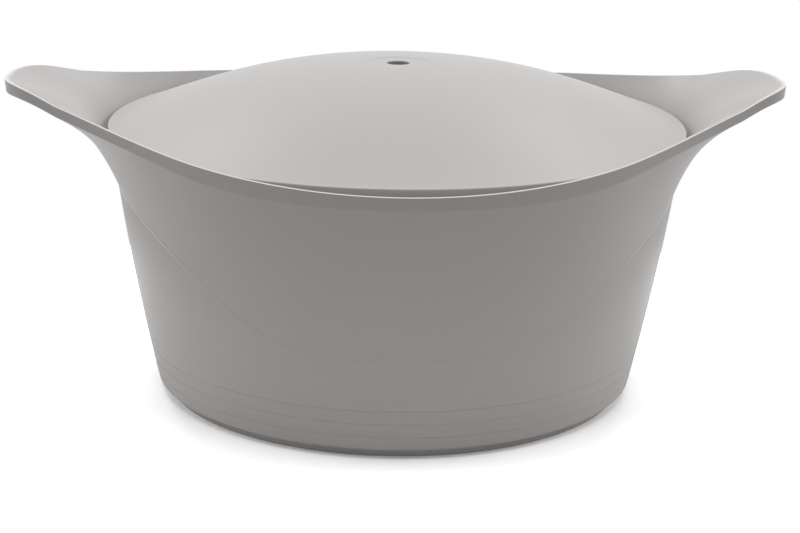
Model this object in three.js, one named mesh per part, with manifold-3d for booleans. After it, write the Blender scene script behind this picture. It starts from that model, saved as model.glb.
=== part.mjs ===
// Casserole pot: a cast bowl whose rim sweeps out into two wing handles, a domed cast lid that lies on
// a ledge inside the mouth, and a perforated steel disc in the recess under the base.
// Millimetres, +Z up, the handles along X, and the origin on the standing surface at the bowl's axis.

import * as THREE from 'three';
import { mergeVertices } from 'three/addons/utils/BufferGeometryUtils.js';
import Module from 'manifold-3d';

const wasm = await Module();
wasm.setup();

// Lid seen from above and the ledge that it lies on
const lidRadius = 122.6;
const lidSideClearance = 0.8;
const ledgeWidth = 6.1;
const seatGap = 0.3;

// Bowl wall: a cone with a slight swelling, measured on its outside from the foot up to the ledge
const wallThickness = 4;
const wallFootRadius = 102.95;
const wallTopRadius = lidRadius + lidSideClearance - ledgeWidth + wallThickness;
const wallSwelling = 1.4;
const footCornerRadius = 4;

// Fine grooves that run round the foot of the wall
const lowestGrooveHeight = 10.2;
const groovePitch = 7.35;
const grooveCount = 3;
const grooveWidth = 1.4;
const grooveDepth = 0.2;

// Perforated steel disc
const plateThickness = 0.8;
const plateStandOff = 0.4;
const plateHoleRadius = 3.5;
const plateBorder = 15.7;
const plateRingCount = 4;
const holesPerRing = 6;

// Floor of the bowl, the ring that it stands on and the recess for the disc
const floorThickness = 6.5;
const floorCornerRadius = 12;
const standingRingWidth = 11.15;
const recessRadius = wallFootRadius - footCornerRadius - standingRingWidth;
const recessDepth = plateStandOff + plateThickness + seatGap;

// Rim seen from above: a round mouth, and a blunt tip on each wing joined to it by hollow flanks
const landFrontWidth = 4;
const landTipWidth = 2.6;
const mouthDraft = 1.6;
const mouthRadius = lidRadius + lidSideClearance + mouthDraft + landFrontWidth;
const wingReach = 165.15;
const wingTipRadius = 34.5;
const wingTipFlat = 3.5;
const flankHollow = 1.8;

// Rim seen from the side: a parabola, lowest at the front and back, that lifts and droops near each tip
const rimFrontHeight = 112.1;
const rimTipHeight = 132.7;
const rimTipLift = 2.6;
const rimTipDroop = 3.2;
const ledgeDepth = 3.1;
const ledgeHeight = rimFrontHeight - ledgeDepth;

// Upright band round the outside of the rim
const bandFrontHeight = 5.15;
const bandWingHeight = 4.5;
const bandSwelling = 1.15;
const bandTipSwelling = 1.2;
const bandDraft = 0.57;

// Arch on the outside of the wall, above which the wing flares out
const archApexHeight = 89.8;
const archFootHeight = 42.5;
const archHalfWidth = 114.5;

// Lid seen from the side; its flange stops just short of the ledge's inner edge
const lidEdgeHeight = 4.5;
const lidRimHeight = ledgeHeight + seatGap + lidEdgeHeight;
const lidDomeRise = 25.75;
const lidWall = 3.8;
const lidEdgeRadius = 1.8;
const flangeInset = 1.1;
const lidFlangeWidth = ledgeWidth - lidSideClearance - flangeInset;
const lidFlangeHeight = 2;
const ventRadius = 4.85;
const ventChamfer = 0.5;
const ventLandRadius = 12.6;
const ventLandDepth = 0.25;

// Basting studs under the lid, in rings
const studRingShares = [0.28, 0.51, 0.735];
const studRingCounts = [6, 12, 18];
const studBaseRadius = 3;
const studTipRadius = 1.5;
const studLength = 3.5;
const studRoot = 1.5;

// Shapes given as shares, powers and angles
const flankSkewShare = 0.575;
const rimLiftStartShare = 0.85;
const archShoulderPower = 3.31;
const archRunOutPower = 1.5;
const flareBreakShare = 0.345;
const flareCornerFrontShare = 0.533;
const flareCornerTipShare = 0.804;
const flareFullnessShare = 0.646;
const mouthCornerShare = 0.5;
const topCornerAcrossShare = 0.2;
const topCornerUpShare = 0.695;
const topFullnessShare = 0.5;
const domeShares = [1, 0.165, -0.369];
const bandSwellAngle = 60;
const bandSwellSpread = 30;
const bandWingAngle = 33;
const sectionCrowdingShare = 0.22;
const lidEdgeAngle = 70;

// Facets
const potSides = 84;
const lidSides = 60;
const holeSides = 8;
const studSides = 8;
const wallSteps = 4;
const flareSteps = 8;
const topSteps = 6;
const innerWallSteps = 3;
const cornerSteps = 4;
const domeSteps = 8;
const underLidSteps = 7;
const edgeSteps = 3;

const radians = THREE.MathUtils.degToRad;
const mix = THREE.MathUtils.lerp;
const smooth = THREE.MathUtils.smoothstep;

// Outer radius of the cone-like wall at a height
function wallRadius(height) {
  const t = (height - footCornerRadius) / (ledgeHeight - footCornerRadius);
  return mix(wallFootRadius, wallTopRadius, t) + 4 * wallSwelling * t * (1 - t);
}

// Azimuth folded into the quarter between a handle, at 0, and the front or back, at a right angle
function foldedAzimuth(azimuth) {
  return Math.atan2(Math.abs(Math.sin(azimuth)), Math.abs(Math.cos(azimuth)));
}

// Radius of the rim's outer edge: flat tip, tip circle, then hollow flank along the common tangent
function rimRadius(azimuth) {
  const a = foldedAzimuth(azimuth);
  const centreX = wingReach - wingTipRadius;
  const centreAway = Math.hypot(centreX, wingTipFlat);
  const centreAngle = Math.atan2(wingTipFlat, centreX);
  const flankEnd = centreAngle + Math.acos((mouthRadius - wingTipRadius) / centreAway);
  const flankStart = Math.atan2(
    wingTipFlat + wingTipRadius * Math.sin(flankEnd),
    centreX + wingTipRadius * Math.cos(flankEnd),
  );
  if (a >= flankEnd) return mouthRadius;
  if (a <= Math.atan2(wingTipFlat, wingReach)) return wingReach / Math.cos(a);
  if (a <= flankStart) {
    const across = centreAway * Math.sin(a - centreAngle);
    return centreAway * Math.cos(a - centreAngle) + Math.sqrt(wingTipRadius ** 2 - across ** 2);
  }
  const along = ((a - flankStart) / (flankEnd - flankStart)) ** flankSkewShare;
  return mouthRadius / Math.cos(flankEnd - a) - flankHollow * Math.sin(Math.PI * along) ** 2;
}

// 0 at the front and back, 1 at the wing tip
function wingShare(azimuth) {
  return Math.max(0, (rimRadius(azimuth) - mouthRadius) / (wingReach - mouthRadius));
}

function rimHeight(azimuth) {
  const reach = rimRadius(azimuth) * Math.abs(Math.cos(azimuth)) / wingReach;
  const nearTip = Math.max(0, (reach - rimLiftStartShare) / (1 - rimLiftStartShare));
  const parabola = mix(rimFrontHeight, rimTipHeight - rimTipLift + rimTipDroop, reach ** 2);
  return parabola + rimTipLift * nearTip - rimTipDroop * nearTip ** 4;
}

// The band is tallest beside the wings, where the flare starts, and at the tips
function bandHeight(azimuth) {
  const degrees = THREE.MathUtils.radToDeg(foldedAzimuth(azimuth));
  const frontShare = smooth(degrees, bandWingAngle, bandSwellAngle);
  const away = Math.min(1, Math.abs(degrees - bandSwellAngle) / bandSwellSpread);
  const swelling = bandSwelling * Math.cos(away * Math.PI / 2) ** 2;
  const tipSwelling = bandTipSwelling * wingShare(azimuth) ** 3;
  return mix(bandWingHeight, bandFrontHeight, frontShare) + swelling + tipSwelling;
}

// Height share of the arch: 1 over the handle's axis, 0 where the arch runs out towards the front
function archShare(azimuth) {
  const across = Math.min(1, wallRadius(archApexHeight) * Math.abs(Math.sin(azimuth)) / archHalfWidth);
  return (1 - across ** archShoulderPower) ** archRunOutPower;
}

// Points of a conic from start to end, drawn towards the corner; fullness 0 is a plain parabola.
// The start is left out, because the outline already holds it.
function conicPoints(start, corner, end, fullness, steps) {
  const points = [];
  for (let i = 1; i <= steps; i += 1) {
    const t = i / steps;
    const weights = [(1 - t) ** 2, 2 * t * (1 - t) * (1 + fullness), t ** 2];
    const total = weights[0] + weights[1] + weights[2];
    const x = weights[0] * start.x + weights[1] * corner.x + weights[2] * end.x;
    const y = weights[0] * start.y + weights[1] * corner.y + weights[2] * end.y;
    points.push(new THREE.Vector2(x / total, y / total));
  }
  return points;
}

// Points of an arc about a centre, with both ends
function arcPoints(centreX, centreY, radius, fromDegrees, toDegrees, steps) {
  const points = [];
  for (let i = 0; i <= steps; i += 1) {
    const angle = radians(mix(fromDegrees, toDegrees, i / steps));
    const x = centreX + radius * Math.cos(angle);
    points.push(new THREE.Vector2(x, centreY + radius * Math.sin(angle)));
  }
  return points;
}

// Underside: recess, standing ring and rounded corner
function footOutline() {
  const standingRadius = wallFootRadius - footCornerRadius;
  return [
    new THREE.Vector2(recessRadius, recessDepth),
    new THREE.Vector2(recessRadius, 0),
    ...arcPoints(standingRadius, footCornerRadius, footCornerRadius, -90, 0, cornerSteps),
  ];
}

// Wall from the foot up to the arch, with a shallow V at each groove
function wallOutline(archHeight) {
  const points = [];
  for (let i = 0; i < grooveCount; i += 1) {
    const height = lowestGrooveHeight + groovePitch * i;
    const low = height - grooveWidth / 2;
    const high = height + grooveWidth / 2;
    points.push(new THREE.Vector2(wallRadius(low), low));
    points.push(new THREE.Vector2(wallRadius(height) - grooveDepth, height));
    points.push(new THREE.Vector2(wallRadius(high), high));
  }
  const start = points[points.length - 1].y;
  for (let i = 1; i <= wallSteps; i += 1) {
    const height = mix(start, archHeight, i / wallSteps);
    points.push(new THREE.Vector2(wallRadius(height), height));
  }
  return points;
}

// Flare from the arch to the lower edge of the band
function flareOutline(azimuth, archHeight) {
  const start = new THREE.Vector2(wallRadius(archHeight), archHeight);
  const end = new THREE.Vector2(rimRadius(azimuth) - bandDraft, rimHeight(azimuth) - bandHeight(azimuth));
  const wing = Math.sqrt(wingShare(azimuth));
  const rise = (end.y - start.y) * mix(flareCornerFrontShare, flareCornerTipShare, wing);
  const chordLean = (end.x - start.x) / (end.y - start.y);
  const wallLean = (wallRadius(archHeight + footCornerRadius) - start.x) / footCornerRadius;
  const lean = mix(wallLean, chordLean, flareBreakShare * archShare(azimuth));
  const corner = new THREE.Vector2(start.x + lean * rise, start.y + rise);
  return conicPoints(start, corner, end, flareFullnessShare * wing, flareSteps);
}

// Top of the rim: outer edge, land, then the dished wing or steep mouth wall down to the ledge
function topOutline(azimuth) {
  const wing = Math.sqrt(wingShare(azimuth));
  const edge = new THREE.Vector2(rimRadius(azimuth), rimHeight(azimuth));
  const landWidth = mix(landFrontWidth, landTipWidth, wing);
  const start = new THREE.Vector2(edge.x - landWidth, edge.y);
  const end = new THREE.Vector2(lidRadius + lidSideClearance, ledgeHeight);
  const acrossShare = mix(mouthCornerShare, topCornerAcrossShare, wing);
  const upShare = mix(mouthCornerShare, topCornerUpShare, wing);
  const corner = new THREE.Vector2(mix(end.x, start.x, acrossShare), mix(end.y, start.y, upShare));
  return [edge, start, ...conicPoints(start, corner, end, topFullnessShare * wing, topSteps)];
}

// Inside of the bowl, from the inner edge of the ledge down to the floor
function innerOutline() {
  const cornerTop = floorThickness + floorCornerRadius;
  const points = [];
  for (let i = 0; i < innerWallSteps; i += 1) {
    const height = mix(ledgeHeight, cornerTop, i / innerWallSteps);
    points.push(new THREE.Vector2(wallRadius(height) - wallThickness, height));
  }
  const cornerCentre = wallRadius(cornerTop) - wallThickness - floorCornerRadius;
  points.push(...arcPoints(cornerCentre, cornerTop, floorCornerRadius, 0, -90, cornerSteps));
  return points;
}

// Half section of the pot at an azimuth, from the recess round the outside and back to the floor
function potSection(azimuth) {
  const archHeight = mix(archFootHeight, archApexHeight, archShare(azimuth));
  return [
    ...footOutline(),
    ...wallOutline(archHeight),
    ...flareOutline(azimuth, archHeight),
    ...topOutline(azimuth),
    ...innerOutline(),
  ];
}

// Azimuth of a half section; they lie closer together at the wing tips, where the rim turns fastest
function sectionAzimuth(index) {
  const even = 2 * Math.PI * index / potSides;
  return even - sectionCrowdingShare * Math.sin(2 * even);
}

// Closed skin through a ring of half sections, with a centre point at each end of the outline
function loftAroundAxis(sectionAt, azimuthAt, sides, lowCentre, highCentre) {
  const positions = [];
  const sections = [];
  for (let i = 0; i < sides; i += 1) {
    const azimuth = azimuthAt(i);
    sections.push(sectionAt(azimuth));
    for (const point of sections[i]) {
      positions.push(point.x * Math.cos(azimuth), point.x * Math.sin(azimuth), point.y);
    }
  }
  const rows = sections[0].length;
  const low = sides * rows;
  const high = low + 1;
  positions.push(0, 0, lowCentre, 0, 0, highCentre);
  const faces = [];
  for (let i = 0; i < sides; i += 1) {
    const here = i * rows;
    const next = ((i + 1) % sides) * rows;
    faces.push(low, next, here);
    faces.push(here + rows - 1, next + rows - 1, high);
    for (let j = 0; j < rows - 1; j += 1) {
      faces.push(here + j, next + j, next + j + 1);
      faces.push(here + j, next + j + 1, here + j + 1);
    }
  }
  const geometry = new THREE.BufferGeometry();
  geometry.setAttribute('position', new THREE.Float32BufferAttribute(positions, 3));
  geometry.setIndex(faces);
  return geometry;
}

function makePotBody() {
  return loftAroundAxis(potSection, sectionAzimuth, potSides, recessDepth, floorThickness);
}

// Height of the dome's upper face at a radius
function domeHeight(radius) {
  const share = (radius / lidRadius) ** 2;
  const fullness = domeShares[0] + domeShares[1] * share + domeShares[2] * share ** 2;
  return lidRimHeight + lidDomeRise * (1 - share) * fullness;
}

// Closed half section of the lid: up the edge, over the dome to the vent, and back underneath
function lidSection() {
  const seat = ledgeHeight + seatGap;
  const flangeInner = lidRadius - lidFlangeWidth;
  const ventLand = domeHeight(ventLandRadius) - ventLandDepth;
  const edgeX = lidRadius - lidEdgeRadius;
  const edgeY = domeHeight(edgeX) - lidEdgeRadius;
  const points = [
    new THREE.Vector2(lidRadius, seat),
    ...arcPoints(edgeX, edgeY, lidEdgeRadius, 0, lidEdgeAngle, edgeSteps),
  ];
  const edgeInner = points[points.length - 1].x - lidEdgeRadius;
  for (let i = 0; i <= domeSteps; i += 1) {
    const radius = mix(edgeInner, ventLandRadius, i / domeSteps);
    points.push(new THREE.Vector2(radius, domeHeight(radius)));
  }
  points.push(new THREE.Vector2(ventLandRadius - ventLandDepth, ventLand));
  points.push(new THREE.Vector2(ventRadius + ventChamfer, ventLand));
  points.push(new THREE.Vector2(ventRadius, ventLand - ventChamfer));
  for (let i = 0; i <= underLidSteps; i += 1) {
    const radius = mix(ventRadius, flangeInner - lidFlangeHeight / 2, i / underLidSteps);
    const below = Math.max(domeHeight(radius) - lidWall, seat + lidFlangeHeight);
    points.push(new THREE.Vector2(radius, below));
  }
  points.push(new THREE.Vector2(flangeInner, seat));
  points.push(points[0].clone());
  return points;
}

// Geometry with shared corners, holding positions only
function weld(geometry) {
  const bare = geometry.clone();
  bare.deleteAttribute('normal');
  bare.deleteAttribute('uv');
  return mergeVertices(bare);
}

function toSolid(geometry) {
  const welded = weld(geometry);
  const vertProperties = new Float32Array(welded.attributes.position.array);
  const triVerts = new Uint32Array(welded.index.array);
  return new wasm.Manifold(new wasm.Mesh({ numProp: 3, vertProperties, triVerts }));
}

function fromSolid(solid) {
  const mesh = solid.getMesh();
  const geometry = new THREE.BufferGeometry();
  geometry.setAttribute('position', new THREE.Float32BufferAttribute(mesh.vertProperties, mesh.numProp));
  geometry.setIndex(new THREE.Uint32BufferAttribute(mesh.triVerts, 1));
  return geometry;
}

// A basting stud: a blunt cone that hangs from the underside of the lid, rooted in its wall
function makeStud(radius, azimuth) {
  const underside = domeHeight(radius) - lidWall;
  const length = studLength + studRoot;
  const stud = new THREE.CylinderGeometry(studBaseRadius, studTipRadius, length, studSides);
  stud.rotateX(Math.PI / 2);
  stud.rotateZ(azimuth);
  const centre = underside + studRoot - length / 2;
  stud.translate(radius * Math.cos(azimuth), radius * Math.sin(azimuth), centre);
  return toSolid(stud);
}

function makeLid() {
  const shell = new THREE.LatheGeometry(lidSection(), lidSides);
  shell.rotateX(Math.PI / 2);
  let solid = toSolid(shell);
  studRingShares.forEach((share, ring) => {
    for (let i = 0; i < studRingCounts[ring]; i += 1) {
      const azimuth = 2 * Math.PI * (i + ring / 2) / studRingCounts[ring];
      solid = solid.add(makeStud(share * lidRadius, azimuth));
    }
  });
  return fromSolid(solid);
}

// Corners of a regular outline about a centre
function ringOutline(centreX, centreY, radius, sides) {
  const points = [];
  for (let i = 0; i < sides; i += 1) {
    const angle = 2 * Math.PI * i / sides;
    points.push(new THREE.Vector2(centreX + radius * Math.cos(angle), centreY + radius * Math.sin(angle)));
  }
  return points;
}

// Disc with rings of holes, lying in the recess with a gap all round
function makeInductionPlate() {
  const plateRadius = recessRadius - seatGap;
  const ringPitch = (plateRadius - plateBorder) / plateRingCount;
  const disc = new THREE.Shape(ringOutline(0, 0, plateRadius, lidSides));
  for (let ring = 1; ring <= plateRingCount; ring += 1) {
    const count = holesPerRing * ring;
    for (let i = 0; i < count; i += 1) {
      const angle = 2 * Math.PI * i / count;
      const x = ringPitch * ring * Math.cos(angle);
      const y = ringPitch * ring * Math.sin(angle);
      disc.holes.push(new THREE.Path(ringOutline(x, y, plateHoleRadius, holeSides)));
    }
  }
  const plate = new THREE.ExtrudeGeometry(disc, { depth: plateThickness, bevelEnabled: false });
  plate.translate(0, 0, plateStandOff);
  return weld(plate);
}

function addPiece(group, name, geometry, color, roughness, metalness) {
  geometry.computeVertexNormals();
  const material = new THREE.MeshStandardMaterial({ color, roughness, metalness });
  const piece = new THREE.Mesh(geometry, material);
  piece.name = name;
  group.add(piece);
}

const casserole = new THREE.Group();
casserole.name = 'casserole_pot';
addPiece(casserole, 'pot_body', makePotBody(), 0xb7b4b3, 0.5, 0);
addPiece(casserole, 'lid', makeLid(), 0xbab7b6, 0.5, 0);
addPiece(casserole, 'induction_plate', makeInductionPlate(), 0xb4b3b0, 0.35, 1);

export default casserole;
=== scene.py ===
# Casserole pot: a cast bowl whose rim sweeps out into two wing handles, its domed lid, and the
# perforated steel disc under its base. +Y runs from the front of the photograph to the back.
# Shapes are worked out in millimetres, and their meshes are made in metres in the CAD frame.

import math

import bmesh
import bpy
from mathutils import Matrix, Vector


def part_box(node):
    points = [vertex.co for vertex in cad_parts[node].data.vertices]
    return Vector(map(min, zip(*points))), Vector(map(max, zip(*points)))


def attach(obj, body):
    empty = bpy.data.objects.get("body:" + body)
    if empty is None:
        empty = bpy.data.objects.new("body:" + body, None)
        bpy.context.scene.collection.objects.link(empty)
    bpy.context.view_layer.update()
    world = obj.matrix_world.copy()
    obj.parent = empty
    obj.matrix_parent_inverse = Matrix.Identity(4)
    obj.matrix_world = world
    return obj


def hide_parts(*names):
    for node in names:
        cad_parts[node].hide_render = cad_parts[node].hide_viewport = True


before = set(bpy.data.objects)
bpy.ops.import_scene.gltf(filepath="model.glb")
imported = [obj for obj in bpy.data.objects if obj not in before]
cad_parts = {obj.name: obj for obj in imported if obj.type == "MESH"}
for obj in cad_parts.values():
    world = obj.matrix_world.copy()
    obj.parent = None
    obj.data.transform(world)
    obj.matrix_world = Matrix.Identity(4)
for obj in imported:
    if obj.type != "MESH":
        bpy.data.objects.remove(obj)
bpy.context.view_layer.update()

MM = 0.001

# Sizes read from the frame
_, pot_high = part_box("pot_body")
lid_low, lid_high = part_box("lid")
plate_low, plate_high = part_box("induction_plate")
WING_REACH = pot_high.x / MM
MOUTH_RADIUS = pot_high.y / MM
LID_RADIUS = lid_high.x / MM
LID_SEAT = lid_low.z / MM
PLATE_RADIUS = plate_high.x / MM
PLATE_LOW = plate_low.z / MM
PLATE_HIGH = plate_high.z / MM

# Gap between pieces that touch
SEAT_GAP = 0.3

# Bowl wall, measured on its outside
WALL_THICKNESS = 4.0
WALL_FOOT_RADIUS = 102.95
WALL_FOOT_HEIGHT = 4.0
WALL_TOP_RADIUS = 121.3
WALL_SWELLING = 1.4

# Lower edge of the wall, which hangs over the standing ring
FOOT_EDGE_HEIGHT = 4.2
FOOT_EDGE_RADIUS = 0.6
FOOT_COVE_DEPTH = 3.6
FOOT_COVE_HEIGHT = 3.4
FOOT_COVE_RADIUS = 1.6

# Standing ring, and the recess inside it
RING_INSET = 4.0
RING_RADIUS = WALL_FOOT_RADIUS - RING_INSET
RING_EDGE_RADIUS = 0.4
RECESS_RADIUS = PLATE_RADIUS + SEAT_GAP
RECESS_DEPTH = PLATE_HIGH + SEAT_GAP

# Grooves round the foot of the wall
LOWEST_GROOVE_HEIGHT = 9.6
GROOVE_PITCH = 5.9
GROOVE_COUNT = 3
GROOVE_WIDTH = 1.2
GROOVE_DEPTH = 0.25

# Floor of the bowl and the ledge for the lid
BOWL_FLOOR_HEIGHT = 6.5
BOWL_CORNER_RADIUS = 12.0
LEDGE_HEIGHT = LID_SEAT - SEAT_GAP
LID_SIDE_CLEARANCE = 0.8
LEDGE_OUTER_RADIUS = LID_RADIUS + LID_SIDE_CLEARANCE
LEDGE_FILLET = 0.8
LEDGE_EDGE_RADIUS = 0.7

# Rim seen from above: flat tip, tip circle, hollow flank
WING_TIP_RADIUS = 34.5
WING_TIP_FLAT = 3.5
FLANK_HOLLOW = 1.8
FLANK_SKEW_POWER = 0.575
WING_BLEND_SHARE = 0.004

# Rim seen from the side
RIM_FRONT_HEIGHT = 112.1
RIM_TIP_HEIGHT = 132.7
RIM_TIP_LIFT = 2.6
RIM_TIP_DROOP = 3.2
RIM_LIFT_START_SHARE = 0.85

# Upright band round the outside of the rim; the angles are in degrees from the handle's axis
BAND_FRONT_HEIGHT = 5.15
BAND_WING_HEIGHT = 4.5
BAND_WING_ANGLE = 33
BAND_SWELLING = 1.15
BAND_SWELL_ANGLE = 60
BAND_SWELL_SPREAD = 30
BAND_TIP_SWELLING = 1.2
BAND_TIP_POWER = 6
BAND_DRAFT = 0.57
BAND_LOWER_RADIUS = 0.7
BAND_LOWER_TIP_RADIUS = 0.9
BAND_LOWER_TIP_START_SHARE = 0.75
BAND_UPPER_RADIUS = 0.22

# Flat land on top of the band, and the mouth wall or dished wing inside it
LAND_FRONT_WIDTH = 1.4
LAND_TIP_WIDTH = 3.0
LAND_GROWTH_SHARE = 0.55
LAND_INNER_RADIUS = 0.8
MOUTH_CORNER_SHARE = 0.5
TOP_CORNER_ACROSS_SHARE = 0.2
TOP_CORNER_UP_SHARE = 0.695
TOP_FULLNESS_SHARE = 0.5

# Arch on the outside of the wall, with a fine low bead along it
ARCH_APEX_HEIGHT = 89.8
ARCH_FOOT_HEIGHT = 42.5
ARCH_HALF_WIDTH = 114.5
ARCH_SHOULDER_POWER = 3.31
ARCH_RUN_OUT_POWER = 1.5
BEAD_HALF_WIDTH = 0.5
BEAD_HEIGHT = 0.04
BEAD_RADIUS = 2.0
BEAD_FADE_SHARES = (0.25, 0.95)
BEAD_BACK_SHARE = 0.7

# Flare between the arch and the band
FLARE_BREAK_SHARE = 0.345
FLARE_CORNER_FRONT_SHARE = 0.533
FLARE_CORNER_TIP_SHARE = 0.804
FLARE_FULLNESS_SHARE = 0.646

# Lid; the dome's shares weigh the powers of its section
LID_EDGE_HEIGHT = 4.5
LID_EDGE_RADIUS = 0.6
LID_EDGE_ANGLE = 72
LID_EDGE_UNDERCUT = 1.3
LID_DOME_RISE = 25.75
DOME_SHARES = (1.0, 0.165, -0.369)
LID_THICKNESS = 3.8
LID_FLANGE_WIDTH = 4.2
LID_FLANGE_HEIGHT = 2.0
LID_FINE_RADIUS = 0.5
VENT_RADIUS = 4.85
VENT_LAND_RADIUS = 12.6
VENT_LAND_DEPTH = 0.25
VENT_LAND_SOFTNESS = 0.4

# Basting studs under the lid
STUD_RING_SHARES = (0.28, 0.51, 0.735)
STUD_RING_COUNTS = (6, 12, 18)
STUD_BASE_RADIUS = 3.0
STUD_TIP_RADIUS = 1.5
STUD_TIP_ROUNDING = 0.75
STUD_TIP_FLAT_RADIUS = 0.375
STUD_LENGTH = 3.5
STUD_ROOT_RADIUS = 1.5

# Perforated disc
PLATE_HOLE_RADIUS = 3.5
PLATE_BORDER = 15.7
PLATE_RING_COUNT = 4
HOLES_PER_RING = 6
PLATE_BEVEL = 0.08
PLATE_SHARP_ANGLE = 40

# Painted highlights: a paler colour along edges that stands in for the light they catch
EDGE_HIGHLIGHT_WIDTH = 0.6
EDGE_HIGHLIGHT_DEPTH = 0.1
LID_HIGHLIGHT_SHARE = 0.3

# Sides of what is round
POT_SIDES = 400
LID_SIDES = 240
STUD_SIDES = 32
PLATE_SIDES = 180
HOLE_SIDES = 32
FLOOR_SIDES = 128

# Steps along the stretches of the sections
RECESS_STEPS = 6
GROOVE_STEPS = 8
WALL_STEPS = 18
FLARE_STEPS = 30
TOP_STEPS = 22
BOWL_WALL_STEPS = 24
BOWL_CORNER_STEPS = 14
BOWL_FLOOR_STEPS = 10
LID_EDGE_STEPS = 10
DOME_STEPS = 60
LID_UNDER_STEPS = 40
PLATE_BEVEL_STEPS = 1

# Roundings: their steps, the support points beside them, and how much of a side each may take
ROUNDING_STEPS = 5
ROUNDING_REACH_SHARE = 0.4
SUPPORT_DISTANCE = 0.25
SUPPORT_REACH_SHARE = 0.1

# Small measures: for telling vertices apart, for merging them, and for the lean of the wall
VERTEX_SLACK = 0.01
MERGE_DISTANCE = 0.001
LEAN_STEP = 4.0

# Coating and steel, with the least and greatest roughness of each
POT_COLOR = (0.475, 0.46, 0.452)
LID_COLOR = (0.49, 0.475, 0.467)
# Paler colour painted along edges as a highlight
PAINTED_HIGHLIGHT_COLOR = (0.76, 0.745, 0.73)
DRIFT_SHARES = (0.985, 1.015)
DRIFT_SCALE = 18
DRIFT_DETAIL = 3
GRAIN_SCALE = 1400
GRAIN_DETAIL = 2
COATING_ROUGHNESS = (0.37, 0.45)
COATING_RELIEF_SHARE = 0.12
COATING_RELIEF_DEPTH = 0.06
COATING_IOR = 1.32
STEEL_COLOR = (0.56, 0.55, 0.53)
TURNING_SCALE = 500
TURNING_DISTORTION = 1.5
TURNING_DETAIL = 2
STEEL_ROUGHNESS = (0.3, 0.42)
STEEL_RELIEF_SHARE = 0.2
STEEL_RELIEF_DEPTH = 0.02

# Camera, as fitted to the photograph
PHOTO_WIDTH = 800
PHOTO_HEIGHT = 533
FOCAL_PIXELS = 1885.3
CENTRE_PIXEL = (395.8, 219.82)
CAMERA_DISTANCE = 818.3
CAMERA_TARGET_HEIGHT = 70.0
CAMERA_ELEVATION = 14.761
CAMERA_YAW = 2.66
CAMERA_ROLL = 0.884
SENSOR_WIDTH = 36.0

# Studio floor: its edge, the hole under the standing ring, and its tones as lit and as seen
FLOOR_RADIUS = 250.0
FLOOR_HOLE_RADIUS = RING_RADIUS - 2 * RING_EDGE_RADIUS
FLOOR_TONE = 0.9
FLOOR_FRONT_TONE = 1.75
FLOOR_BACK_TONE = 2.6
FLOOR_FRONT_Y = -60.0
FLOOR_BACK_Y = 10.0

# Studio light: an even fill, and broad lamps as (name, azimuth, elevation, spread, white share)
FILL_STRENGTH = 0.283
LAMPS = (
    ("overhead", 0, 90, 50, 0.493),
    ("overhead_front", 180, 78, 30, 0.065),
    ("right_low", 75, 20, 35, 0.174),
    ("left_low", -75, 20, 35, 0.138),
    ("back_right", 25, 42, 10, 0.075),
    ("back_left", -25, 42, 10, 0.098),
)
WHITE = (1, 1, 1, 1)


def mix(a, b, share):
    return a + (b - a) * share


def smooth(value, low, high):
    """Share from 0 at low to 1 at high, level at both ends."""
    share = min(1.0, max(0.0, (value - low) / (high - low)))
    return share * share * (3 - 2 * share)


# Outlines


def conic(start, corner, end, fullness, steps):
    """Points from start, left out, to end, drawn towards the corner; fullness 0 is a parabola."""
    points = []
    for i in range(1, steps + 1):
        t = i / steps
        weights = ((1 - t) ** 2, 2 * t * (1 - t) * (1 + fullness), t**2)
        total = sum(weights)
        points.append((weights[0] * start + weights[1] * corner + weights[2] * end) / total)
    return points


def arc(centre, radius, from_degrees, to_degrees, steps):
    points = []
    for i in range(steps + 1):
        angle = math.radians(mix(from_degrees, to_degrees, i / steps))
        points.append(centre + radius * Vector((math.cos(angle), math.sin(angle))))
    return points


def rounded(outline):
    """Points of an outline whose entries are (point, radius), with an arc at each radius over 0.

    Each arc has a support point on either side, so that the flats beside it shade flat."""
    points = []
    for i, (point, radius) in enumerate(outline):
        if radius == 0:
            points.append(point)
            continue
        back = outline[i - 1][0] - point
        on = outline[(i + 1) % len(outline)][0] - point
        half_angle = back.angle(on) / 2
        shorter = min(back.length, on.length)
        reach = min(radius / math.tan(half_angle), ROUNDING_REACH_SHARE * shorter)
        hold = min(SUPPORT_DISTANCE, SUPPORT_REACH_SHARE * shorter)
        back.normalize()
        on.normalize()
        start = point + back * reach
        end = point + on * reach
        points.append(start + back * hold)
        points.append(start)
        points.extend(conic(start, point, end, math.sin(half_angle) - 1, ROUNDING_STEPS))
        points.append(end + on * hold)
    return points


def plain(points):
    return [(point, 0) for point in points]


# Pot


def wall_radius(height):
    t = (height - WALL_FOOT_HEIGHT) / (LEDGE_HEIGHT - WALL_FOOT_HEIGHT)
    return mix(WALL_FOOT_RADIUS, WALL_TOP_RADIUS, t) + 4 * WALL_SWELLING * t * (1 - t)


def wall_point(height, inset=0.0):
    return Vector((wall_radius(height) - inset, height))


def folded(azimuth):
    """Azimuth folded into the quarter between a handle, at 0, and the front or back."""
    return math.atan2(abs(math.sin(azimuth)), abs(math.cos(azimuth)))


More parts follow.
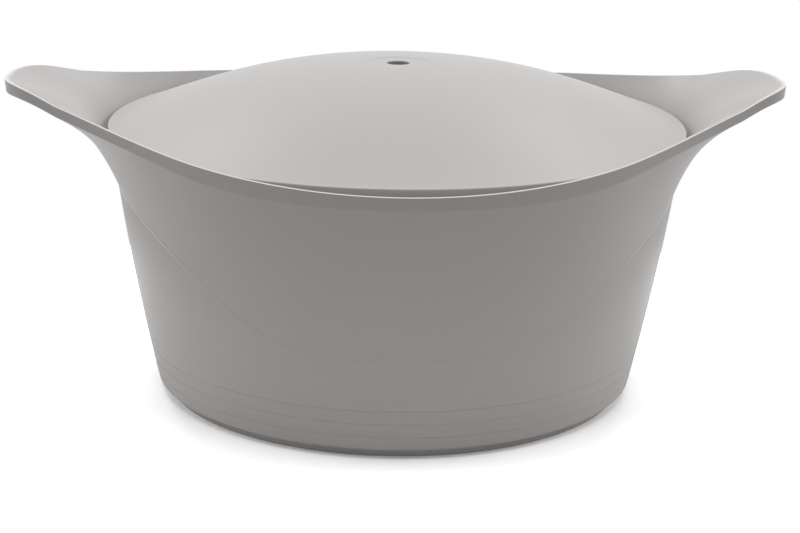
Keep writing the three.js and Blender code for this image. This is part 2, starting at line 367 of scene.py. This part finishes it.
def rim_radius(azimuth):
    """Outer edge of the rim: flat tip, tip circle, hollow flank, then round mouth."""
    a = folded(azimuth)
    centre_x = WING_REACH - WING_TIP_RADIUS
    centre_away = math.hypot(centre_x, WING_TIP_FLAT)
    centre_angle = math.atan2(WING_TIP_FLAT, centre_x)
    flank_end = centre_angle + math.acos((MOUTH_RADIUS - WING_TIP_RADIUS) / centre_away)
    flank_start = math.atan2(
        WING_TIP_FLAT + WING_TIP_RADIUS * math.sin(flank_end),
        centre_x + WING_TIP_RADIUS * math.cos(flank_end),
    )
    if a >= flank_end:
        return MOUTH_RADIUS
    if a <= math.atan2(WING_TIP_FLAT, WING_REACH):
        return WING_REACH / math.cos(a)
    if a <= flank_start:
        across = centre_away * math.sin(a - centre_angle)
        return centre_away * math.cos(a - centre_angle) + math.sqrt(WING_TIP_RADIUS**2 - across**2)
    along = ((a - flank_start) / (flank_end - flank_start)) ** FLANK_SKEW_POWER
    return MOUTH_RADIUS / math.cos(flank_end - a) - FLANK_HOLLOW * math.sin(math.pi * along) ** 2


def reach_share(azimuth):
    """How far the rim reaches past the round mouth, as a share of the wing's reach."""
    return max(0.0, (rim_radius(azimuth) - MOUTH_RADIUS) / (WING_REACH - MOUTH_RADIUS))


def wing_share(azimuth):
    """0 at the front and back, 1 at the wing tip, growing evenly along the flank."""
    share = reach_share(azimuth)
    base = math.sqrt(WING_BLEND_SHARE)
    return (math.sqrt(share + WING_BLEND_SHARE) - base) / (math.sqrt(1 + WING_BLEND_SHARE) - base)


def rim_height(azimuth):
    """A parabola that lifts a little and then droops near each wing tip."""
    reach = rim_radius(azimuth) * abs(math.cos(azimuth)) / WING_REACH
    near_tip = max(0.0, (reach - RIM_LIFT_START_SHARE) / (1 - RIM_LIFT_START_SHARE))
    parabola = mix(RIM_FRONT_HEIGHT, RIM_TIP_HEIGHT - RIM_TIP_LIFT + RIM_TIP_DROOP, reach**2)
    return parabola + RIM_TIP_LIFT * near_tip - RIM_TIP_DROOP * near_tip**4


def band_height(azimuth):
    """Taller in front than on the wings, and swelling on each shoulder and at the tips."""
    degrees = math.degrees(folded(azimuth))
    front_share = smooth(degrees, BAND_WING_ANGLE, BAND_SWELL_ANGLE)
    away = min(1.0, abs(degrees - BAND_SWELL_ANGLE) / BAND_SWELL_SPREAD)
    swelling = BAND_SWELLING * math.cos(away * math.pi / 2) ** 2
    swelling += BAND_TIP_SWELLING * reach_share(azimuth) ** BAND_TIP_POWER
    return mix(BAND_WING_HEIGHT, BAND_FRONT_HEIGHT, front_share) + swelling


def arch_share(azimuth):
    """1 over the handle's axis, 0 where the arch runs out towards the front."""
    across = min(1.0, wall_radius(ARCH_APEX_HEIGHT) * abs(math.sin(azimuth)) / ARCH_HALF_WIDTH)
    return (1 - across**ARCH_SHOULDER_POWER) ** ARCH_RUN_OUT_POWER


def arch_height_at(azimuth):
    return mix(ARCH_FOOT_HEIGHT, ARCH_APEX_HEIGHT, arch_share(azimuth))


def bead_share(azimuth):
    """How much of the bead on the arch is left, as it fades out towards the arch's feet."""
    return smooth(arch_share(azimuth), *BEAD_FADE_SHARES)


def foot_outline():
    """Recess, standing ring, and the cove between the ring and the wall's lower edge."""
    edge = wall_point(FOOT_EDGE_HEIGHT)
    recess = [
        Vector((RECESS_RADIUS * i / RECESS_STEPS, RECESS_DEPTH)) for i in range(1, RECESS_STEPS)
    ]
    return [
        *plain(recess),
        (Vector((RECESS_RADIUS, RECESS_DEPTH)), RING_EDGE_RADIUS),
        (Vector((RECESS_RADIUS, 0)), RING_EDGE_RADIUS),
        (Vector((RING_RADIUS, 0)), RING_EDGE_RADIUS),
        (Vector((edge.x - FOOT_COVE_DEPTH, FOOT_COVE_HEIGHT)), FOOT_COVE_RADIUS),
        (edge, FOOT_EDGE_RADIUS),
    ]


def wall_outline(arch_height):
    """The grooves, and the wall above them up to just below the bead on the arch."""
    points = []
    for i in range(GROOVE_COUNT):
        middle = LOWEST_GROOVE_HEIGHT + GROOVE_PITCH * i
        for j in range(GROOVE_STEPS + 1):
            along = j / GROOVE_STEPS
            height = middle + GROOVE_WIDTH * (along - 0.5)
            points.append(wall_point(height, GROOVE_DEPTH * math.sin(math.pi * along) ** 2))
        points.append(wall_point(middle + GROOVE_PITCH / 2))
    start = points[-1].y
    end = arch_height - BEAD_HALF_WIDTH - SUPPORT_DISTANCE
    for i in range(1, WALL_STEPS + 1):
        points.append(wall_point(mix(start, end, i / WALL_STEPS)))
    return points


def flare_outline(azimuth, arch_height):
    """The bead on the arch and the flare above it, up to the lower edge of the band."""
    wing = wing_share(azimuth)
    rise = BEAD_HEIGHT * bead_share(azimuth)
    edge = wall_point(arch_height)
    crest = edge + Vector((rise, 0))
    start = edge + Vector((BEAD_BACK_SHARE * rise, BEAD_HALF_WIDTH))
    end = Vector((rim_radius(azimuth) - BAND_DRAFT, rim_height(azimuth) - band_height(azimuth)))
    corner_rise = (end.y - edge.y) * mix(FLARE_CORNER_FRONT_SHARE, FLARE_CORNER_TIP_SHARE, wing)
    chord_lean = (end.x - edge.x) / (end.y - edge.y)
    wall_lean = (wall_radius(arch_height + LEAN_STEP) - edge.x) / LEAN_STEP
    lean = mix(wall_lean, chord_lean, FLARE_BREAK_SHARE * arch_share(azimuth))
    corner = Vector((edge.x + lean * corner_rise, edge.y + corner_rise))
    flare = conic(start, corner, end, FLARE_FULLNESS_SHARE * wing, FLARE_STEPS)
    near_tip = smooth(wing, BAND_LOWER_TIP_START_SHARE, 1.0)
    return [
        (wall_point(arch_height - BEAD_HALF_WIDTH), 0),
        (crest, BEAD_RADIUS),
        (start, 0),
        *plain(flare[:-1]),
        (flare[-1], mix(BAND_LOWER_RADIUS, BAND_LOWER_TIP_RADIUS, near_tip)),
    ]


def top_outline(azimuth):
    """Outer edge, land, then the dished wing or steep mouth wall down to the ledge's corner."""
    wing = wing_share(azimuth)
    edge = Vector((rim_radius(azimuth), rim_height(azimuth)))
    width = mix(LAND_FRONT_WIDTH, LAND_TIP_WIDTH, smooth(wing, LAND_GROWTH_SHARE, 1))
    start = Vector((edge.x - width, edge.y))
    end = Vector((LEDGE_OUTER_RADIUS, LEDGE_HEIGHT))
    across_share = mix(MOUTH_CORNER_SHARE, TOP_CORNER_ACROSS_SHARE, wing)
    up_share = mix(MOUTH_CORNER_SHARE, TOP_CORNER_UP_SHARE, wing)
    corner = Vector((mix(end.x, start.x, across_share), mix(end.y, start.y, up_share)))
    slope = conic(start, corner, end, TOP_FULLNESS_SHARE * wing, TOP_STEPS)
    return [
        (edge, BAND_UPPER_RADIUS),
        (start, LAND_INNER_RADIUS),
        *plain(slope[:-1]),
        (slope[-1], LEDGE_FILLET),
    ]


def inner_outline():
    """From the ledge's inner edge down the bowl to the floor."""
    corner_top = BOWL_FLOOR_HEIGHT + BOWL_CORNER_RADIUS
    wall = []
    for i in range(1, BOWL_WALL_STEPS):
        wall.append(wall_point(mix(LEDGE_HEIGHT, corner_top, i / BOWL_WALL_STEPS), WALL_THICKNESS))
    centre_radius = wall_radius(corner_top) - WALL_THICKNESS - BOWL_CORNER_RADIUS
    centre = Vector((centre_radius, corner_top))
    floor = []
    for i in range(1, BOWL_FLOOR_STEPS):
        floor.append(Vector((centre_radius * (1 - i / BOWL_FLOOR_STEPS), BOWL_FLOOR_HEIGHT)))
    return [
        (wall_point(LEDGE_HEIGHT, WALL_THICKNESS), LEDGE_EDGE_RADIUS),
        *plain(wall),
        *plain(arc(centre, BOWL_CORNER_RADIUS, 0, -90, BOWL_CORNER_STEPS)),
        *plain(floor),
    ]


def pot_section(azimuth):
    """Half section from the recess round the outside and back down to the bowl's floor."""
    arch_height = arch_height_at(azimuth)
    return rounded([
        *foot_outline(),
        *plain(wall_outline(arch_height)),
        *flare_outline(azimuth, arch_height),
        *top_outline(azimuth),
        *inner_outline(),
    ])


# Lid


def dome_height(radius):
    share = (radius / LID_RADIUS) ** 2
    fullness = DOME_SHARES[0] + DOME_SHARES[1] * share + DOME_SHARES[2] * share**2
    return LID_SEAT + LID_EDGE_HEIGHT + LID_DOME_RISE * (1 - share) * fullness


def lid_section():
    """Closed half section: up the edge, over the dome to the vent, and back underneath."""
    flange_inner = LID_RADIUS - LID_FLANGE_WIDTH
    edge_x = LID_RADIUS - LID_EDGE_RADIUS
    edge_centre = Vector((edge_x, dome_height(edge_x) - LID_EDGE_RADIUS))
    edge = arc(edge_centre, LID_EDGE_RADIUS, 0, LID_EDGE_ANGLE, LID_EDGE_STEPS)
    dome_outer = edge[-1].x - SUPPORT_DISTANCE
    dome_inner = VENT_LAND_RADIUS + VENT_LAND_SOFTNESS
    dome = []
    for i in range(DOME_STEPS + 1):
        radius = mix(dome_outer, dome_inner, i / DOME_STEPS)
        dome.append(Vector((radius, dome_height(radius))))
    land_height = dome_height(VENT_LAND_RADIUS) - VENT_LAND_DEPTH
    vent_low = dome_height(VENT_RADIUS) - LID_THICKNESS
    under = []
    for i in range(1, LID_UNDER_STEPS + 1):
        radius = mix(VENT_RADIUS, flange_inner - LID_FLANGE_HEIGHT / 2, i / LID_UNDER_STEPS)
        low = max(dome_height(radius) - LID_THICKNESS, LID_SEAT + LID_FLANGE_HEIGHT)
        under.append(Vector((radius, low)))
    return rounded([
        (Vector((LID_RADIUS - LID_EDGE_UNDERCUT, LID_SEAT)), LID_FINE_RADIUS),
        *plain(edge),
        *plain(dome),
        (Vector((VENT_LAND_RADIUS - VENT_LAND_DEPTH, land_height)), VENT_LAND_DEPTH),
        (Vector((VENT_RADIUS, land_height)), LID_FINE_RADIUS),
        (Vector((VENT_RADIUS, vent_low)), LID_FINE_RADIUS),
        *plain(under),
        (Vector((flange_inner, LID_SEAT)), LID_FINE_RADIUS),
    ])


def stud_section():
    """Half section of a stud about its own axis, from its root down to the tip."""
    return rounded([
        (Vector((STUD_BASE_RADIUS + STUD_ROOT_RADIUS, STUD_ROOT_RADIUS)), 0),
        (Vector((STUD_BASE_RADIUS, 0)), STUD_ROOT_RADIUS),
        (Vector((STUD_TIP_RADIUS, -STUD_LENGTH)), STUD_TIP_ROUNDING),
        (Vector((STUD_TIP_FLAT_RADIUS, -STUD_LENGTH)), 0),
    ])


# Meshes


def add_loft(mesh, section_at, sides, centre=(0, 0), low=None, high=None):
    """Adds a skin through a ring of half sections. low and high are the heights of the centre
    points that close its two ends; without them each section closes on itself."""
    rings = []
    for i in range(sides):
        azimuth = 2 * math.pi * i / sides
        ring = []
        for point in section_at(azimuth):
            x = centre[0] + point.x * math.cos(azimuth)
            y = centre[1] + point.x * math.sin(azimuth)
            ring.append(mesh.verts.new((x * MM, y * MM, point.y * MM)))
        rings.append(ring)
    closed = low is None
    for i, ring in enumerate(rings):
        beside = rings[(i + 1) % sides]
        for j in range(len(ring) - (0 if closed else 1)):
            k = (j + 1) % len(ring)
            mesh.faces.new((ring[j], beside[j], beside[k], ring[k]))
    if closed:
        return
    for height, row, turned in ((low, 0, True), (high, -1, False)):
        middle = mesh.verts.new((centre[0] * MM, centre[1] * MM, height * MM))
        for i, ring in enumerate(rings):
            beside = rings[(i + 1) % sides]
            pair = (beside[row], ring[row]) if turned else (ring[row], beside[row])
            mesh.faces.new((middle, *pair))


def mark_painted_highlight(mesh, highlight_at):
    """Writes how much painted highlight each vertex gets, for its material to read."""
    layer = mesh.verts.layers.float.new("painted_highlight")
    for vertex in mesh.verts:
        x, y, height = vertex.co / MM
        vertex[layer] = highlight_at(math.atan2(y, x), math.hypot(x, y), height)


def pot_painted_highlight(azimuth, radius, height):
    """Painted highlight along the crest of the arch's bead and on the outer edge of the rim."""
    on_crest = abs(height - arch_height_at(azimuth)) < BEAD_HALF_WIDTH - VERTEX_SLACK
    if on_crest and radius > wall_radius(height) - WALL_THICKNESS / 2:
        # The bead's painted highlight fades out along with the bead
        return bead_share(azimuth)
    inward = rim_radius(azimuth) - radius
    below = rim_height(azimuth) - height
    return 1.0 if inward < EDGE_HIGHLIGHT_WIDTH and below < EDGE_HIGHLIGHT_DEPTH else 0.0


def lid_painted_highlight(azimuth, radius, height):
    """A faint painted highlight on the upper edge."""
    across = LID_RADIUS - radius
    up = abs(height - dome_height(LID_RADIUS))
    return LID_HIGHLIGHT_SHARE if max(across, up) < LID_EDGE_RADIUS else 0.0


def add_piece(name, mesh, body, material, node=None):
    """Makes an object of a bmesh that rides on a body, in place of a CAD node if one is given."""
    data = bpy.data.meshes.new(name)
    bmesh.ops.recalc_face_normals(mesh, faces=mesh.faces)
    mesh.to_mesh(data)
    mesh.free()
    data.shade_smooth()
    data.materials.append(material)
    piece = bpy.data.objects.new(name, data)
    bpy.context.scene.collection.objects.link(piece)
    if node:
        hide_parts(node)
    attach(piece, body)
    return piece


def make_pot(material):
    mesh = bmesh.new()
    add_loft(mesh, pot_section, POT_SIDES, low=RECESS_DEPTH, high=BOWL_FLOOR_HEIGHT)
    mark_painted_highlight(mesh, pot_painted_highlight)
    add_piece("cast_bowl", mesh, "pot", material, node="pot_body")


def make_lid(material):
    section = lid_section()
    mesh = bmesh.new()
    add_loft(mesh, lambda azimuth: section, LID_SIDES)
    mark_painted_highlight(mesh, lid_painted_highlight)
    add_piece("domed_lid", mesh, "lid", material, node="lid")


def make_studs(material):
    """Rings of studs, each stud rooted in the underside of the lid's dome."""
    section = stud_section()
    mesh = bmesh.new()
    for ring, (share, count) in enumerate(zip(STUD_RING_SHARES, STUD_RING_COUNTS)):
        radius = share * LID_RADIUS
        root = dome_height(radius) - LID_THICKNESS
        raised = [Vector((point.x, point.y + root)) for point in section]
        for i in range(count):
            azimuth = 2 * math.pi * (i + ring / 2) / count
            centre = (radius * math.cos(azimuth), radius * math.sin(azimuth))
            add_loft(
                mesh,
                lambda around: raised,
                STUD_SIDES,
                centre,
                low=root + STUD_ROOT_RADIUS,
                high=root - STUD_LENGTH,
            )
    add_piece("basting_studs", mesh, "lid", material)


def add_circle(curve, centre, radius, sides):
    spline = curve.splines.new("POLY")
    spline.points.add(sides - 1)
    for i, point in enumerate(spline.points):
        angle = 2 * math.pi * i / sides
        x = centre[0] + radius * math.cos(angle)
        y = centre[1] + radius * math.sin(angle)
        point.co = (x * MM, y * MM, 0, 1)
    spline.use_cyclic_u = True


def make_plate(material):
    """The disc is a flat filled curve with holes, given its thickness and a fine bevel."""
    curve = bpy.data.curves.new("disc_outline", "CURVE")
    curve.dimensions = "2D"
    curve.fill_mode = "BOTH"
    curve.extrude = ((PLATE_HIGH - PLATE_LOW) / 2 - PLATE_BEVEL) * MM
    curve.bevel_depth = PLATE_BEVEL * MM
    curve.bevel_resolution = PLATE_BEVEL_STEPS
    add_circle(curve, (0, 0), PLATE_RADIUS - PLATE_BEVEL, PLATE_SIDES)
    pitch = (PLATE_RADIUS - PLATE_BORDER) / PLATE_RING_COUNT
    for ring in range(1, PLATE_RING_COUNT + 1):
        count = HOLES_PER_RING * ring
        for i in range(count):
            angle = 2 * math.pi * i / count
            centre = (pitch * ring * math.cos(angle), pitch * ring * math.sin(angle))
            add_circle(curve, centre, PLATE_HOLE_RADIUS + PLATE_BEVEL, HOLE_SIDES)
    outline = bpy.data.objects.new("disc_outline", curve)
    bpy.context.scene.collection.objects.link(outline)
    bpy.context.view_layer.update()
    solid = outline.evaluated_get(bpy.context.evaluated_depsgraph_get()).to_mesh()
    mesh = bmesh.new()
    mesh.from_mesh(solid)
    bpy.data.objects.remove(outline)
    bmesh.ops.remove_doubles(mesh, verts=mesh.verts, dist=MERGE_DISTANCE * MM)
    bmesh.ops.translate(mesh, verts=mesh.verts, vec=(0, 0, (PLATE_LOW + PLATE_HIGH) / 2 * MM))
    piece = add_piece("perforated_disc", mesh, "pot", material, node="induction_plate")
    piece.data.set_sharp_from_angle(angle=math.radians(PLATE_SHARP_ANGLE))


# Materials


def new_material(name):
    material = bpy.data.materials.new(name)
    material.use_nodes = True
    nodes = material.node_tree.nodes
    return material, nodes, material.node_tree.links, nodes["Principled BSDF"]


def add_finish(nodes, links, pattern, roughness, relief_share, relief_depth):
    """Gives the shader a roughness and a relief that both follow a pattern."""
    shader = nodes["Principled BSDF"]
    gloss = nodes.new("ShaderNodeMapRange")
    gloss.inputs["To Min"].default_value = roughness[0]
    gloss.inputs["To Max"].default_value = roughness[1]
    links.new(pattern.outputs["Fac"], gloss.inputs["Value"])
    links.new(gloss.outputs["Result"], shader.inputs["Roughness"])
    relief = nodes.new("ShaderNodeBump")
    relief.inputs["Strength"].default_value = relief_share
    relief.inputs["Distance"].default_value = relief_depth * MM
    links.new(pattern.outputs["Fac"], relief.inputs["Height"])
    links.new(relief.outputs["Normal"], shader.inputs["Normal"])


def coating(name, color):
    """Matt sprayed coating: fine grain in its relief, a faint drift of tone, and painted highlights
    along edges.
    """
    material, nodes, links, shader = new_material(name)
    place = nodes.new("ShaderNodeTexCoord")

    drift = nodes.new("ShaderNodeTexNoise")
    drift.inputs["Scale"].default_value = DRIFT_SCALE
    drift.inputs["Detail"].default_value = DRIFT_DETAIL
    links.new(place.outputs["Object"], drift.inputs["Vector"])
    tone = nodes.new("ShaderNodeMix")
    tone.data_type = "RGBA"
    tone.inputs["A"].default_value = (*[DRIFT_SHARES[0] * c for c in color], 1)
    tone.inputs["B"].default_value = (*[DRIFT_SHARES[1] * c for c in color], 1)
    links.new(drift.outputs["Fac"], tone.inputs["Factor"])
    # Painted highlight: a paler colour mixed in where the mesh marks edges that catch light
    painted_highlight = nodes.new("ShaderNodeAttribute")
    painted_highlight.attribute_name = "painted_highlight"
    highlighted = nodes.new("ShaderNodeMix")
    highlighted.data_type = "RGBA"
    highlighted.inputs["B"].default_value = (*PAINTED_HIGHLIGHT_COLOR, 1)
    links.new(painted_highlight.outputs["Fac"], highlighted.inputs["Factor"])
    links.new(tone.outputs["Result"], highlighted.inputs["A"])
    links.new(highlighted.outputs["Result"], shader.inputs["Base Color"])

    grain = nodes.new("ShaderNodeTexNoise")
    grain.inputs["Scale"].default_value = GRAIN_SCALE
    grain.inputs["Detail"].default_value = GRAIN_DETAIL
    links.new(place.outputs["Object"], grain.inputs["Vector"])
    add_finish(nodes, links, grain, COATING_ROUGHNESS, COATING_RELIEF_SHARE, COATING_RELIEF_DEPTH)
    shader.inputs["IOR"].default_value = COATING_IOR
    return material


def turned_steel(name, color):
    """Bare steel with the fine rings that turning leaves."""
    material, nodes, links, shader = new_material(name)
    place = nodes.new("ShaderNodeTexCoord")
    rings = nodes.new("ShaderNodeTexWave")
    rings.wave_type = "RINGS"
    rings.rings_direction = "Z"
    rings.inputs["Scale"].default_value = TURNING_SCALE
    rings.inputs["Distortion"].default_value = TURNING_DISTORTION
    rings.inputs["Detail"].default_value = TURNING_DETAIL
    links.new(place.outputs["Object"], rings.inputs["Vector"])
    add_finish(nodes, links, rings, STEEL_ROUGHNESS, STEEL_RELIEF_SHARE, STEEL_RELIEF_DEPTH)
    shader.inputs["Base Color"].default_value = (*color, 1)
    shader.inputs["Metallic"].default_value = 1
    return material


# Studio


def seen_rays(nodes, links):
    """1 for rays from the camera, of reflections and of transmission, 0 for those that light."""
    rays = nodes.new("ShaderNodeLightPath")
    seen = rays.outputs["Is Camera Ray"]
    for kind in ("Is Glossy Ray", "Is Transmission Ray"):
        either = nodes.new("ShaderNodeMath")
        either.operation = "MAXIMUM"
        links.new(seen, either.inputs[0])
        links.new(rays.outputs[kind], either.inputs[1])
        seen = either.outputs[0]
    return seen


def seen_tone(nodes, links):
    """The floor's tone as it is seen. To the camera it grows whiter from front to back, so that
    only the shadow before the foot shows, and to reflections it is the front's all over."""
    place = nodes.new("ShaderNodeTexCoord")
    along = nodes.new("ShaderNodeSeparateXYZ")
    links.new(place.outputs["Object"], along.inputs["Vector"])
    rising = nodes.new("ShaderNodeMapRange")
    rising.interpolation_type = "SMOOTHSTEP"
    rising.inputs["From Min"].default_value = FLOOR_FRONT_Y * MM
    rising.inputs["From Max"].default_value = FLOOR_BACK_Y * MM
    rising.inputs["To Min"].default_value = FLOOR_FRONT_TONE
    rising.inputs["To Max"].default_value = FLOOR_BACK_TONE
    links.new(along.outputs["Y"], rising.inputs["Value"])
    rays = nodes.new("ShaderNodeLightPath")
    tone = nodes.new("ShaderNodeMix")
    tone.inputs["A"].default_value = FLOOR_FRONT_TONE
    links.new(rays.outputs["Is Camera Ray"], tone.inputs["Factor"])
    links.new(rising.outputs["Result"], tone.inputs["B"])
    return tone.outputs["Result"]


def floor_material(name):
    """Matt, whiter to the camera and to reflections than it lights the pot, and clear from below."""
    material, nodes, links, shader = new_material(name)
    shader.inputs["Base Color"].default_value = (*[FLOOR_TONE] * 3, 1)
    shader.inputs["Roughness"].default_value = 1
    shader.inputs["Specular IOR Level"].default_value = 0
    seen_white = nodes.new("ShaderNodeBsdfDiffuse")
    links.new(seen_tone(nodes, links), seen_white.inputs["Color"])
    seen = nodes.new("ShaderNodeMixShader")
    links.new(seen_rays(nodes, links), seen.inputs["Fac"])
    links.new(shader.outputs["BSDF"], seen.inputs[1])
    links.new(seen_white.outputs["BSDF"], seen.inputs[2])
    clear = nodes.new("ShaderNodeBsdfTransparent")
    side = nodes.new("ShaderNodeNewGeometry")
    choice = nodes.new("ShaderNodeMixShader")
    links.new(side.outputs["Backfacing"], choice.inputs["Fac"])
    links.new(seen.outputs["Shader"], choice.inputs[1])
    links.new(clear.outputs["BSDF"], choice.inputs[2])
    links.new(choice.outputs["Shader"], nodes["Material Output"].inputs["Surface"])
    return material


def make_floor():
    """Round pale floor, with a hole under the standing ring that lets light reach the base."""
    material = floor_material("studio_floor")
    mesh = bmesh.new()
    rings = []
    for radius in (FLOOR_RADIUS, FLOOR_HOLE_RADIUS):
        circle = bmesh.ops.create_circle(mesh, segments=FLOOR_SIDES, radius=radius * MM)
        rings.append(circle["verts"])
    outer, inner = rings
    for i in range(FLOOR_SIDES):
        j = (i + 1) % FLOOR_SIDES
        mesh.faces.new((outer[i], outer[j], inner[j], inner[i]))
    data = bpy.data.meshes.new("studio_floor")
    mesh.to_mesh(data)
    mesh.free()
    data.materials.append(material)
    floor = bpy.data.objects.new("studio_floor", data)
    bpy.context.scene.collection.objects.link(floor)


def make_world():
    """White for the camera and for reflections, a dim even fill for everything else."""
    world = bpy.data.worlds.new("studio")
    bpy.context.scene.world = world
    world.use_nodes = True
    nodes, links = world.node_tree.nodes, world.node_tree.links
    fill = nodes["Background"]
    fill.inputs["Color"].default_value = WHITE
    fill.inputs["Strength"].default_value = FILL_STRENGTH
    white = nodes.new("ShaderNodeBackground")
    white.inputs["Color"].default_value = WHITE
    white.inputs["Strength"].default_value = 1
    choice = nodes.new("ShaderNodeMixShader")
    links.new(seen_rays(nodes, links), choice.inputs["Fac"])
    links.new(fill.outputs["Background"], choice.inputs[1])
    links.new(white.outputs["Background"], choice.inputs[2])
    links.new(choice.outputs["Shader"], nodes["World Output"].inputs["Surface"])


def make_lamp(name, azimuth, elevation, spread, white_share):
    """A broad even light that comes from an azimuth, 0 behind the pot and 90 on its right.

    The white share is what a white surface that faces the lamp would reflect of it."""
    around, up = math.radians(azimuth), math.radians(elevation)
    place = Vector((
        math.sin(around) * math.cos(up),
        math.cos(around) * math.cos(up),
        math.sin(up),
    ))
    lamp = bpy.data.lights.new(name, "SUN")
    lamp.energy = math.pi * white_share
    lamp.angle = math.radians(spread)
    lamp_object = bpy.data.objects.new(name, lamp)
    lamp_object.rotation_euler = (-place).to_track_quat("-Z", "Y").to_euler()
    bpy.context.scene.collection.objects.link(lamp_object)


def make_camera():
    """The photograph's own view: distance, height, turn, roll and off-centre crop."""
    yaw = math.radians(CAMERA_YAW)
    elevation = math.radians(CAMERA_ELEVATION)
    roll = math.radians(CAMERA_ROLL)
    level = Vector((math.sin(yaw), math.cos(yaw), 0))
    right = Vector((math.cos(yaw), -math.sin(yaw), 0))
    forward = level * math.cos(elevation) - Vector((0, 0, math.sin(elevation)))
    up = right.cross(forward)
    camera = bpy.data.cameras.new("photo_view")
    camera.sensor_width = SENSOR_WIDTH
    camera.lens = FOCAL_PIXELS / PHOTO_WIDTH * SENSOR_WIDTH
    camera.shift_x = (PHOTO_WIDTH / 2 - CENTRE_PIXEL[0]) / PHOTO_WIDTH
    camera.shift_y = (CENTRE_PIXEL[1] - PHOTO_HEIGHT / 2) / PHOTO_WIDTH
    view = bpy.data.objects.new("photo_view", camera)
    bpy.context.scene.collection.objects.link(view)
    rolled_right = right * math.cos(roll) + up * math.sin(roll)
    rolled_up = up * math.cos(roll) - right * math.sin(roll)
    target = Vector((0, 0, CAMERA_TARGET_HEIGHT))
    turn = Matrix((rolled_right, rolled_up, -forward)).transposed().to_4x4()
    turn.translation = (target - forward * CAMERA_DISTANCE) * MM
    view.matrix_world = turn
    bpy.context.scene.camera = view


make_camera()

pot_grey = coating("pot_coating", POT_COLOR)
lid_grey = coating("lid_coating", LID_COLOR)
steel = turned_steel("base_steel", STEEL_COLOR)

make_pot(pot_grey)
make_lid(lid_grey)
make_studs(lid_grey)
make_plate(steel)

make_floor()
make_world()
for lamp in LAMPS:
    make_lamp(*lamp)

bpy.context.scene.view_settings.view_transform = "Standard"
